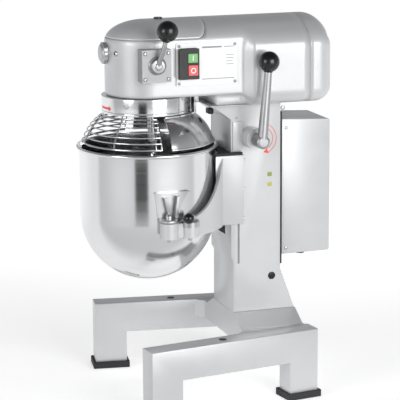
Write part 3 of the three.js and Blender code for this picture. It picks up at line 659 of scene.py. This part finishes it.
# ---- speed selector --------------------------------------------------------------------------------------
# A cast housing on the nose's flank, held by four socket screws. The selector's hub turns in a raised boss, and
# its bent steel rod ends in a black ball.
raw_casting = coating("raw_casting", (0.36, 0.365, 0.37), 0.6, 0.5, mottle=0.22, grain=260, relief=0.5, broad=60)
soften("selector_housing", 1.6, raw_casting)
housing_low, housing_high = span("selector_housing")
selector_axis = (housing_high[1] - 33, housing_high[2] - 36)
face_x, corner_y, corner_z = housing_high[0], 7, 8
corners = [(y, z) for y in (housing_low[1] + corner_y, housing_high[1] - corner_y)
           for z in (housing_low[2] + corner_z, housing_high[2] - corner_z)]
build("selector_screws", [screw((face_x, y, z), (1, 0, 0), 4.2, 3.4) for y, z in corners], bright_steel, "frame")
hub_profile = eased([[0, 14.5], [7, 14.2], [8, 12], [15, 11.5], [17, 9], [17, 3], [19.5, 2], [21, 0.4], [21, -1],
                     [0, -1]], 0.8, closed=False)


def ball(radius, collar, sink):
    """A ball knob about Z: a sphere of that radius centred at zero, flattened at its foot, on a short collar."""
    a = np.linspace(np.pi, np.arcsin(collar / radius), 34)
    sphere = np.stack([radius * np.sin(a), -radius * np.cos(a)], 1)
    sphere[0, 0] = 0
    foot = -math.sqrt(radius ** 2 - collar ** 2)
    return np.concatenate([sphere, [[collar, foot - sink * 0.9], [collar * 0.9, foot - sink], [0, foot - sink]]])


def along_curve(points, count):
    """A smooth path near its points: repeated corner cutting, then even steps along it."""
    p = np.asarray(points, float)
    for _ in range(4):
        cut = np.stack([0.75 * p[:-1] + 0.25 * p[1:], 0.25 * p[:-1] + 0.75 * p[1:]], 1).reshape(-1, 3)
        p = np.concatenate([p[:1], cut, p[-1:]])
    s = np.concatenate([[0], np.cumsum(np.linalg.norm(np.diff(p, axis=0), axis=1))])
    even = np.linspace(0, s[-1], count)
    return np.stack([np.interp(even, s, p[:, k]) for k in range(3)], 1)


drawn_steel = coating("drawn_steel", (0.40, 0.405, 0.41), 1.0, 0.42, mottle=0.1, grain=700, relief=0.03)
knob_low, knob_high = span("selector_knob")
knob_middle = (knob_low + knob_high) / 2
hub_out = np.array([face_x + 8, *selector_axis])
rod = along_curve([hub_out, hub_out + [6, 2, 16], hub_out + [14, 9, 38], knob_middle - [2, 1.5, 12]], 24)
rod_end = rod[-1] - rod[-4]
build("selector_arm", [turned(hub_profile, 64, "x", (face_x, *selector_axis)), tube(rod, np.linspace(6, 4.6, 24))],
      drawn_steel, "selector", ["selector_lever"])
ball_radius = 23.9
build("selector_ball", [aimed(turned(ball(ball_radius, 9, 2), 64), knob_middle, rod_end)], phenolic, "selector",
      ["selector_knob"])

# ---- control panel ---------------------------------------------------------------------------------------
# A white sheet panel on four screws, with a black switch frame over its left end. The start key is green and
# the stop key red. Plain lines and bars stand for the printing.
white_sheet = coating("white_panel_enamel", (0.86, 0.865, 0.87), 0.0, 0.3, mottle=0.015, grain=900, relief=0.01,
                      coat=0.3)
soften("control_panel", 0.8, white_sheet)
panel_low, panel_high = span("control_panel")
panel_face, screw_in = panel_high[0], 6
build("panel_screws", [screw((panel_face, y, z), (1, 0, 0), 3.6, 2.2)
                       for y in (panel_low[1] + screw_in, panel_high[1] - screw_in)
                       for z in (panel_low[2] + screw_in, panel_high[2] - screw_in)], drawn_steel, "frame")
black_frame = coating("black_switch_frame", (0.008, 0.008, 0.009), 0.0, 0.42, mottle=0.15, grain=900, relief=0.03)
soften("switch_housing", 1.5, black_frame)
grey_ink = coating("grey_ink", (0.30, 0.31, 0.33), 0.0, 0.5, mottle=0.05, grain=500, relief=0.01)
# Each bar is its span along y, then its span in height.
bars = [(103, 180, 747, 749), (103, 150, 818, 822), (155, 180, 819, 821), (160, 178, 800, 801.5),
        (160, 178, 793, 794.5), (160, 174, 786, 787.5), (160, 178, 779, 780.5)]
build("panel_print", [plate(rectangle(y0, y1, z0, z1, 0.4), panel_face - 0.3, panel_face + 0.12, 0.05)
                      for y0, y1, z0, z1 in bars], grey_ink, "frame")
green_key = coating("green_key", (0.16, 0.44, 0.14), 0.0, 0.3, mottle=0.06, grain=700, relief=0.02, coat=0.2)
red_key = coating("red_key", (0.70, 0.10, 0.09), 0.0, 0.3, mottle=0.06, grain=700, relief=0.02, coat=0.2)
soften("start_button", 1.4, green_key)
soften("stop_button", 1.4, red_key)
white_ink = coating("white_ink", (0.85, 0.85, 0.85), 0.0, 0.4, mottle=0.02, grain=500, relief=0.01)
ink_back, ink_front = 0.4, 0.15
start_low, start_high = span("start_button")
stop_low, stop_high = span("stop_button")
start_y, start_z = (start_low[1] + start_high[1]) / 2, (start_low[2] + start_high[2]) / 2
stop_y, stop_z = (stop_low[1] + stop_high[1]) / 2, (stop_low[2] + stop_high[2]) / 2
build("start_bar", [plate(rectangle(start_y - 1, start_y + 1, start_z - 6, start_z + 6, 0.5), start_high[0] - ink_back,
                          start_high[0] + ink_front, 0.1)], white_ink, "start_button")
ring_inner, ring_outer = 4.2, 6.2
ring_profile = [[ring_inner, -ink_back], [ring_outer, -ink_back], [ring_outer, ink_front], [ring_inner, ink_front]]
build("stop_ring", [turned(ring_profile, 48, "x", (stop_high[0], stop_y, stop_z), closed=True)], white_ink,
      "stop_button")

# ---- planetary drum and agitator -------------------------------------------------------------------------
# The turning drum is a polished ring under the nose. It carries the agitator's shaft off centre in a boss.
polished = coating("polished_stainless", (0.78, 0.785, 0.79), 1.0, 0.15, mottle=0.03, grain=30, relief=0.004,
                   stretch=(1, 1, 60), broad=5)
drum_low, drum_high = span("planet_drum")
drum_r, drum_z0, drum_z1 = drum_high[0], drum_low[2], drum_high[2]
drum_profile = eased([[0, drum_z1], [drum_r, drum_z1], [drum_r, drum_z0 + 7], [drum_r - 0.8, drum_z0 + 6],
                      [drum_r, drum_z0 + 5], [drum_r, drum_z0], [drum_r - 8, drum_z0], [90, 688], [0, 688]], 1.0,
                     closed=False)
orbit, boss_radius, boss_top = 45.0, 26, 690
boss_profile = eased([[0, drum_z0 + 4], [boss_radius, drum_z0 + 4], [boss_radius, boss_top], [0, boss_top]], 2,
                     closed=False)
build("planet_drum_polished", [turned(drum_profile, 144), turned(boss_profile, 64, "z", (orbit, 0, 0))], polished,
      "planetary", ["planet_drum"])
plug_way = math.radians(-42.9)
plug_out = (math.cos(plug_way), math.sin(plug_way), 0)
plug_z = 692
build("drum_plug", [screw((drum_r * plug_out[0], drum_r * plug_out[1], plug_z), plug_out, 7, 2)], cast_metal,
      "planetary")

# A foil arrow on the drum's front shows which way it turns: a straight shaft that widens to a head at one end.
sweep = np.linspace(-1, 1, 45)
head_start, shaft_half, head_half, mark_z, foil_rise = 0.62, 2.6, 7.0, 682, 0.2
head = (1 - np.abs(sweep)) / (1 - head_start) * head_half
half_height = np.where(sweep < head_start, shaft_half, head)
mark_angle = np.radians(-80 + 13 * sweep)
mark = np.stack([np.stack([r * np.cos(mark_angle), r * np.sin(mark_angle), mark_z + s * half_height], -1)
                 for r, s in ((drum_r - foil_rise, -1), (drum_r + foil_rise, -1), (drum_r + foil_rise, 1),
                              (drum_r - foil_rise, 1))], 1)
build("drum_arrow_mark", [grid(mark, wrap_columns=True, caps=True)], red_foil, "planetary", crease=20)
frame["nodes"]["planet_shaft"].data.materials[0] = bright_steel

# The hook's shank goes straight down, and its arm winds down round it, widest at mid height.
hook_t = np.linspace(0, 1, 120)
hook_width, hook_top, hook_drop, hook_steps = 66, 548, 250, 160
hook_r = hook_width * np.sin(np.pi * (0.06 + 0.86 * hook_t)) ** 0.9
hook_a = 1.7 * np.pi * hook_t
shank = [[orbit, 0, z] for z in (636, 615, 600, 585, 572)]
arm = np.stack([orbit + hook_r * np.cos(hook_a), hook_r * np.sin(hook_a), hook_top - hook_drop * hook_t], 1)[6:]
hook_line = along_curve(np.concatenate([shank, arm]), hook_steps)
hook_thick = np.interp(np.linspace(0, 1, hook_steps), [0, 0.06, 0.5, 0.97, 1], [8, 8, 8, 6.5, 3])
build("dough_hook_forged", [tube(hook_line, hook_thick, 24)], polished, "agitator", ["dough_hook"])

# ---- bowl ------------------------------------------------------------------------------------------------
# A spun stainless bowl: straight wall, hemispherical bottom and a rolled rim. It is polished inside and out, with
# faint rings left by the spinning.
bowl_bottom, bowl_rim = bowl_low.z * 1000, bowl_high.z * 1000
wall_outer, wall_inner = 157.0, 155.0
a = np.linspace(0, np.pi / 2, 40)
outside, inside = [np.stack([r * np.sin(a), bowl_bottom + wall_outer - r * np.cos(a)], 1)
                   for r in (wall_outer, wall_inner)]
roll = np.linspace(-0.6 * np.pi, np.pi, 26)
roll_r, roll_centre = 4.0, 159.4
rolled = np.stack([roll_centre + roll_r * np.cos(roll), bowl_rim - roll_r + roll_r * np.sin(roll)], 1)
wall_heights = (500, 560)
bowl_profile = np.concatenate([outside, [[wall_outer, z] for z in wall_heights], rolled,
                               [[wall_inner, z] for z in wall_heights[::-1]], inside[::-1]])
build("bowl_spun", [turned(bowl_profile, 192)], polished, "bowl_carriage", ["bowl"])


def curved_plate(heights, starts, ends, inner, outer):
    """A plate bent to the bowl's wall: at each height it spans from start to end in degrees round the bowl's
    axis, between two radii."""
    rings = []
    for height, start, end in zip(heights, starts, ends):
        a = np.radians(np.linspace(start, end, 25))[:, None]
        out, back = [np.concatenate([r * np.cos(a), r * np.sin(a), height + 0 * a], 1) for r in (outer, inner)]
        rings.append(np.concatenate([out, back[::-1]]))
    return grid(np.array(rings), wrap_columns=True, caps=True)


satin = coating("satin_stainless", (0.52, 0.525, 0.53), 1.0, 0.36, mottle=0.08, grain=900, relief=0.02)

# Each ear is a tapered plate welded to the wall under a folded lip. Two ribs in a V stiffen the tab that sits on
# the yoke's pin.
ear_heights = np.linspace(444, 504, 14)
ear_taper = np.linspace(0, 1, 14) ** 1.6
ear_inner, ear_outer, lip_outer = 157.2, 160.2, 165.0
lip_heights = [502.5, 503.2, 505.3, 506.0]
tab = eased([[157.5, -25], [182, -25], [196, -17], [199, -4], [196, 9], [182, 17], [157.5, 17]], 7)
ribs = [[[-14, 496], [-6, 496], [6, 462], [3, 450], [-3, 450]], [[17, 498], [24, 498], [20, 450], [11, 450]]]
for side, x_side in (("right", 1), ("left", -1)):
    ear = [curved_plate(ear_heights, -9 - 2.2 * ear_taper, 8 + 10.5 * ear_taper, ear_inner, ear_outer),
           curved_plate(lip_heights, [-11.2, -11.5, -11.5, -11.2], [18.5, 18.8, 18.8, 18.5], ear_inner, lip_outer),
           plate(tab, 441.8, 448, 1.2, "z")]
    ear += [plate(rib[::-1], 159, 174, 1, "x") for rib in ribs]
    if x_side < 0:
        ear = [mirrored(part) for part in ear]
    build(f"bowl_ear_{side}_welded", ear, satin, "bowl_carriage", [f"bowl_ear_{side}"])

# ---- bowl yoke -------------------------------------------------------------------------------------------
# One painted casting: a saddle on the column's ways, and a wall that curves round the bowl to the bosses of
# the bowl pins and clamps. Gib strips hold it on the ways, a rubber wiper lies on top.
soften("bowl_yoke", 2.5, enamel)
soften("way_wiper", 0.8, rubber)
frame["nodes"]["lift_link"].data.materials[0] = bright_steel
yoke_low, pin_place, stud_place, pin_radius = 405, (178, -4), (176, 46), 7.9
for side, x_side in (("right", 1), ("left", -1)):
    soften(f"gib_strip_{side}", 0.8, bright_steel)
    soften(f"clamp_lever_{side}", 0.6, bright_steel)
    pin_low, pin_high = span(f"bowl_pin_{side}")
    pin_x, pin_y = (pin_low[0] + pin_high[0]) / 2, (pin_low[1] + pin_high[1]) / 2
    pin_profile = eased([[0, pin_high[2]], [4.6, pin_high[2]], [pin_radius, pin_high[2] - 6], [pin_radius, pin_low[2]],
                         [0, pin_low[2]]], 1.2, closed=False)
    build(f"bowl_pin_{side}_turned", [turned(pin_profile, 48, "z", (pin_x, pin_y, 0))], bright_steel, "bowl_carriage",
          [f"bowl_pin_{side}"])
    ball_low, ball_high = span(f"clamp_knob_{side}")
    ball_middle = (ball_low + ball_high) / 2
    away = (0.86 * x_side, -0.48, 0.17)
    build(f"clamp_ball_{side}", [aimed(turned(ball(12.4, 5, 1), 48), ball_middle, away)], phenolic, f"clamp_{side}",
          [f"clamp_knob_{side}"])
    collar = [[8, 441.4], [20.1, 441.2], [20.1, 429], [21.2, 429], [21.2, 440.5], [19, 443.5], [8, 443.5]]
    build(f"clamp_collar_{side}", [turned(collar, 48, "z", (stud_place[0] * x_side, stud_place[1], 0),
          closed=True)], satin, "bowl_carriage")
    nut = eased([[0, -9], [5, -9], [5, -2.5], [9.5, -2.5], [9.5, 1], [0, 1]], 0.7, closed=False)
    build(f"boss_nuts_{side}", [turned(nut, 36, "z", (x_side * x, y, yoke_low)) for x, y in (pin_place, stud_place)],
          bright_steel, "bowl_carriage")

# ---- bowl lift lever -------------------------------------------------------------------------------------
# The lever's hub is keyed on the lift spindle. Its tapered rod ends in the large black ball that is pulled
# down to lower the bowl.
grip_low, grip_high = span("lift_knob")
grip = (grip_low + grip_high) / 2
lift_y, lift_z = 230.0, 604.0
lever_hub = eased([[0, 157], [11, 157], [15.8, 153], [15.8, 116], [14, 112.5], [0, 112.5]], 1.6, closed=False)
spindle_r, spindle_start, spindle_end = 11.9, -8, 118
spindle = [[0, spindle_end], [spindle_r, spindle_end], [spindle_r, spindle_start], [0, spindle_start]]
crank = plate(eased([[lift_y - 11, lift_z - 4], [lift_y + 11, lift_z - 4], [lift_y + 7, lift_z + 57],
                     [lift_y - 7, lift_z + 57]], 3), -8, 8, 1)
lever_foot = np.array([grip[0], lift_y + 0.6, lift_z + 6])
lever_top = grip - (grip - lever_foot) / np.linalg.norm(grip - lever_foot) * 18
lever_line = lever_foot + (lever_top - lever_foot) * np.linspace(0, 1, 12)[:, None]
lift_axis = (0, lift_y, lift_z)
build("lift_lever_forged", [turned(lever_hub, 64, "x", lift_axis), turned(spindle, 48, "x", lift_axis), crank,
                            tube(lever_line, np.linspace(12.0, 8.4, 12), 40)], drawn_steel, "lift_handle",
      ["lift_lever"])
build("lift_ball", [aimed(turned(ball(ball_radius, 10, 2), 64), grip, grip - lever_foot)], phenolic, "lift_handle",
      ["lift_knob"])

# ---- bowl guard ------------------------------------------------------------------------------------------
# The rear half is a pressed and polished shield with a rolled edge, riveted to its arm. The front half is a cage
# of round stainless wires that slides round inside the shield. Both follow one curve, from the drum's edge out
# to the bowl's rim.


def guard_curve(inset, count):
    """Points (1-t)^2 A + 2t(1-t) B + t^2 C of the guard's section, drawn in by the inset."""
    t = np.linspace(0, 1, count)[:, None]
    a, b, c = (np.array(p) for p in ([106.5 - inset, 664 - 0.4 * inset], [140 - inset, 647 - 0.5 * inset],
                                     [155.5 - inset, 600.0]))
    return (1 - t) ** 2 * a + 2 * t * (1 - t) * b + t ** 2 * c


def part_turn(profile, start, end, steps, closed=True):
    """A closed profile of [radius, height] turned from one angle to another, with flat ends."""
    angle = np.radians(np.linspace(start, end, steps))[:, None]
    r, z = np.asarray(profile, float).T
    return grid(np.stack([r * np.cos(angle), r * np.sin(angle), z + 0 * angle], -1), wrap_columns=closed, caps=True)


def wire_ring(radius, z, thick, start, end, steps=72, sides=10):
    """A round wire bent to part of a circle."""
    b = np.linspace(0, 2 * np.pi, sides, endpoint=False)
    return part_turn(np.stack([radius + thick * np.cos(b), z + thick * np.sin(b)], 1), start, end, steps)


shield_profile = np.concatenate([guard_curve(0, 20), guard_curve(1.4, 20)[::-1]])
band = [[104.8, 661], [107, 661], [107, 667], [104.8, 667]]
arm_plates = [plate(rectangle(-28, 28, 106, 112, 2), 661, 690, 0.8, "z"),
              plate(rectangle(-28, 28, 106, 119.3, 2), 684, 707, 0.8, "z")]
rivet_r, rivet_z, rivet_tilt = 143.4, 634.5, 0.7
rivets = []
for way in np.radians([16.5, 163.5]):
    across, along = math.cos(way), math.sin(way)
    rivets.append(screw((rivet_r * across, rivet_r * along, rivet_z),
                        (across * rivet_tilt, along * rivet_tilt, rivet_tilt), 4, 2))
shield_start, shield_end = 4.7, 175.3
shield_edge = wire_ring(155, 600, 3, shield_start, shield_end, 120, 16)
build("guard_shield_pressed", [part_turn(shield_profile, shield_start, shield_end, 120), shield_edge,
                               part_turn(band, shield_start + 2, shield_end - 2, 90), *rivets], polished, "frame",
      ["guard_shield"])
build("guard_arm", arm_plates, drawn_steel, "frame")
switch_box = plate(rectangle(6, 32, 141, 153, 3), 655, 667, 1.5, "z")
build("guard_switch_moulded", [switch_box], black_frame, "frame", ["guard_switch"])
cage_inset, cage_start, cage_end = 6.5, 183.6, 356.4
wire_count, edge_wire, thin_wire = 7, 2.4, 1.7
cage = [wire_ring(r, z, edge_wire if i in (0, wire_count - 1) else thin_wire, cage_start, cage_end)
        for i, (r, z) in enumerate(guard_curve(cage_inset, wire_count))]
spoke_line = guard_curve(cage_inset, 16)
for way in (cage_start, cage_start + 5, 226.8, 270, 313.2, cage_end - 5, cage_end):
    w = math.radians(way)
    spoke_r, spoke_z = spoke_line.T
    cage.append(tube(np.stack([spoke_r * math.cos(w), spoke_r * math.sin(w), spoke_z], 1), thin_wire, 10))
lug_y, lug_low, lug_high = -157, 597.2, 602.8
lug = plate(rectangle(-9, 9, -163.5, -147, 4), lug_low, lug_high, 0.8, "z")
stud_end = turned([[0, 0], [4, 0], [4, 5], [0, 5]], 24)
cage += [lug, screw((0, lug_y, lug_high), (0, 0, 1), 4.5, 3), aimed(stud_end, (0, lug_y, lug_low), (0, 0, -1))]
wire_steel = coating("wire_stainless", (0.72, 0.725, 0.73), 1.0, 0.2, mottle=0.05, grain=900, relief=0.01)
build("guard_cage_wires", cage, wire_steel, "guard_cage", ["guard_cage"])

# ---- pieces inside ---------------------------------------------------------------------------------------
# Gears, shafts, motor and electrical pieces are hidden by the castings. They keep their machined shape and get
# the finish of their metal or plastic.
gear_metal = coating("gear_steel_oiled", (0.36, 0.37, 0.38), 1.0, 0.34, mottle=0.12, grain=800, relief=0.02)
copper = coating("copper_winding_lacquer", (0.66, 0.33, 0.16), 0.9, 0.36, mottle=0.15, grain=260, relief=0.3,
                 stretch=(1, 0.1, 1))
inner_finish = {"plain_steel": bright_steel, "black_plastic": black_frame, "copper_winding": copper,
                "cast_grey": cast_metal, "gear_steel": gear_metal, "polished_steel": polished}
for row in frame["record"]["subparts"]:
    piece = frame["nodes"][row["node"]]
    if not piece.hide_render and not piece.modifiers:
        piece.data.materials.clear()
        piece.data.materials.append(inner_finish[row["material_slot"]])
